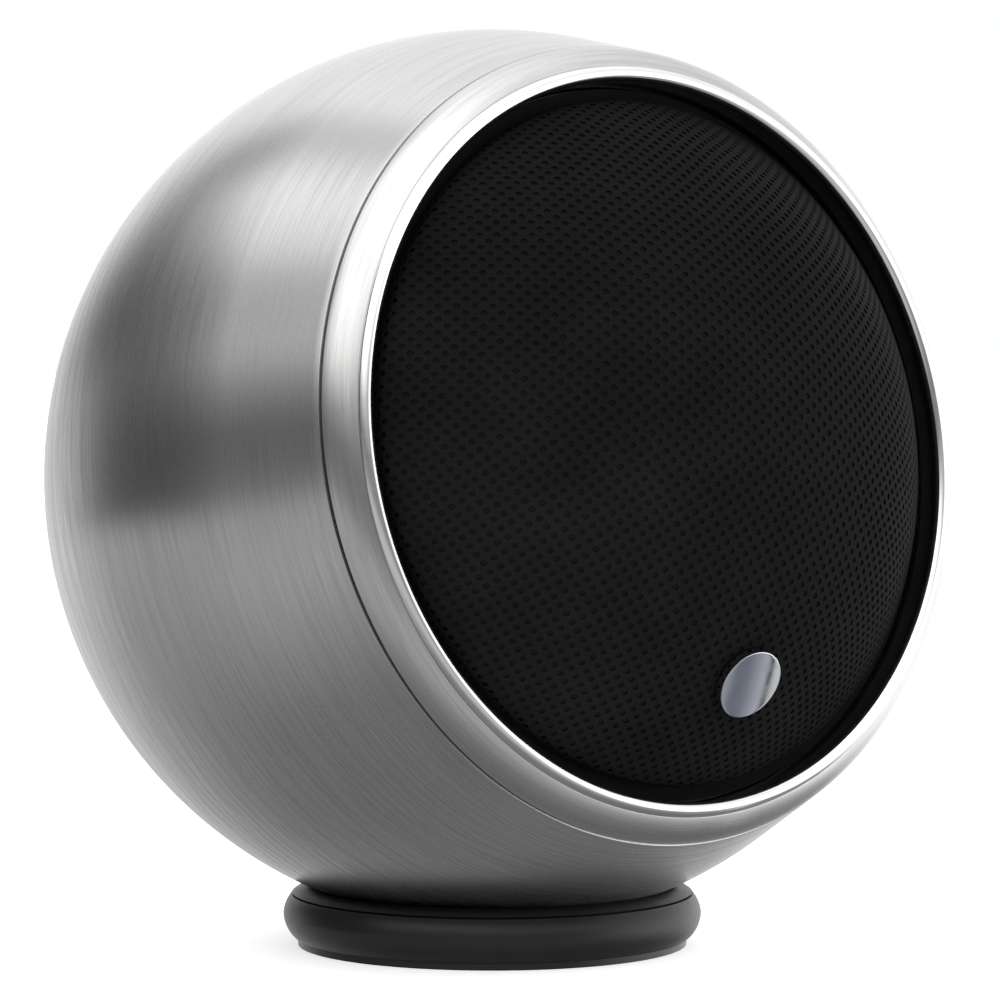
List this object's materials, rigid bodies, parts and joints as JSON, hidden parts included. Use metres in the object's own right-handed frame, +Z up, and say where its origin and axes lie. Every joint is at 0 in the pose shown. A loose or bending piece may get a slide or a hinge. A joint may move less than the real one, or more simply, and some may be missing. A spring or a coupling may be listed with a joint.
{
  "type": "desktop speaker",
  "caption": "Ball-shaped desktop speaker in brushed steel with a round black mesh grille, turning in a low black rubber ring base.",
  "frame": {"origin": "centre of the base ring's underside, on the surface it stands on", "axes": "+Z up, the speaker faces -Y with its front tilted up, +X to the speaker's right as seen from the front"},
  "size_m": [0.104, 0.0998, 0.1064],
  "materials": {
    "shell_steel": "satin brushed round the baffle axis",
    "trim_steel": "polished",
    "badge_steel": "polished",
    "black_plastic": "satin moulded",
    "gasket_rubber": "matte foam",
    "black_screw": "black oxide",
    "magnet_nickel": "nickel plated",
    "grille_cloth": "open knitted mesh",
    "plain_steel": "zinc plated",
    "basket_paint": "black powder coat",
    "ferrite": "sintered",
    "cone_paper": "pressed paper",
    "cap_paper": "pressed paper",
    "surround_rubber": "satin",
    "spider_cloth": "resined cotton",
    "former_aluminium": "foil",
    "coil_copper": "enamelled copper",
    "strip_phenolic": "phenolic board",
    "brass": "turned",
    "gold_plate": "gold plated",
    "red_plastic": "moulded",
    "black_gloss": "moulded",
    "wadding_fibre": "polyester fibre",
    "red_wire": "insulation",
    "black_wire": "insulation",
    "base_rubber": "satin moulded rubber",
    "liner_felt": "felt"
  },
  "bodies": {
    "base": {"base_ring": "base_rubber", "ballast_ring": "plain_steel", "foot_pad": "base_rubber"},
    "swivel": {"seat_collar": "base_rubber", "seat_liner": "liner_felt"},
    "head": {"rear_shell": "shell_steel", "front_shell": "shell_steel", "trim_ring": "trim_steel", "joining_ring": "black_plastic", "baffle_ring": "black_plastic", "terminal_cup": "black_plastic", "shell_gasket": "gasket_rubber", "driver_gasket": "gasket_rubber", "cup_gasket": "gasket_rubber", "baffle_screws": "black_screw", "driver_screws": "black_screw", "cup_screws": "black_screw", "grille_magnets": "magnet_nickel", "driver_basket": "basket_paint", "front_plate": "plain_steel", "pole_piece": "plain_steel", "ring_magnet": "ferrite", "surround": "surround_rubber", "spider": "spider_cloth", "tab_strip": "strip_phenolic", "driver_tabs": "brass", "flex_leads": "coil_copper", "stand_insert": "brass", "wadding": "wadding_fibre", "lead_red": "red_wire", "lead_black": "black_wire", "stud_red": "gold_plate", "nut_red": "brass", "solder_tag_red": "brass", "bush_red": "red_plastic", "stud_black": "gold_plate", "nut_black": "brass", "solder_tag_black": "brass", "bush_black": "black_gloss"},
    "cone": {"cone": "cone_paper", "dust_cap": "cap_paper", "coil_former": "former_aluminium", "voice_coil": "coil_copper"},
    "grille": {"grille_frame": "black_plastic", "grille_mesh": "grille_cloth", "grille_catches": "plain_steel", "badge": "badge_steel"},
    "clamp_red": {"clamp_red": "gold_plate"},
    "knob_red": {"knob_red": "red_plastic"},
    "clamp_black": {"clamp_black": "gold_plate"},
    "knob_black": {"knob_black": "black_gloss"}
  },
  "joints": [
    {"name": "head_pan", "type": "hinge", "parent": "base", "child": "swivel", "pos_m": [0, 0, 0], "axis": [0, 0, 1], "continuous": true},
    {"name": "head_tilt", "type": "hinge", "parent": "swivel", "child": "head", "pos_m": [0, 0, 0.0544], "axis": [-1, 0, 0], "range_deg": [-4, 25]},
    {"name": "cone_travel", "type": "slide", "parent": "head", "child": "cone", "axis": [0, -0.9863, 0.165], "range_m": [-0.0015, 0.0015], "stiffness_N_per_m": 1200, "deforming": ["surround", "spider", "flex_leads"]},
    {"name": "grille_pull", "type": "slide", "parent": "head", "child": "grille", "axis": [0, -0.9863, 0.165], "range_m": [0, 0.03]},
    {"name": "clamp_red_slide", "type": "slide", "parent": "head", "child": "clamp_red", "axis": [0, 0.9863, -0.165], "range_m": [0, 0.0024]},
    {"name": "knob_red_turn", "type": "hinge", "parent": "clamp_red", "child": "knob_red", "pos_m": [0.0095, 0.04241, 0.0473], "axis": [0, 0.9863, -0.165], "range_deg": [0, 1080]},
    {"name": "clamp_black_slide", "type": "slide", "parent": "head", "child": "clamp_black", "axis": [0, 0.9863, -0.165], "range_m": [0, 0.0024]},
    {"name": "knob_black_turn", "type": "hinge", "parent": "clamp_black", "child": "knob_black", "pos_m": [-0.0095, 0.04241, 0.0473], "axis": [0, 0.9863, -0.165], "range_deg": [0, 1080]}
  ],
  "couplings": [
    {"joint": "knob_red_turn", "follows": "clamp_red_slide", "rad_per_m": 7854},
    {"joint": "knob_black_turn", "follows": "clamp_black_slide", "rad_per_m": 7854}
  ]
}
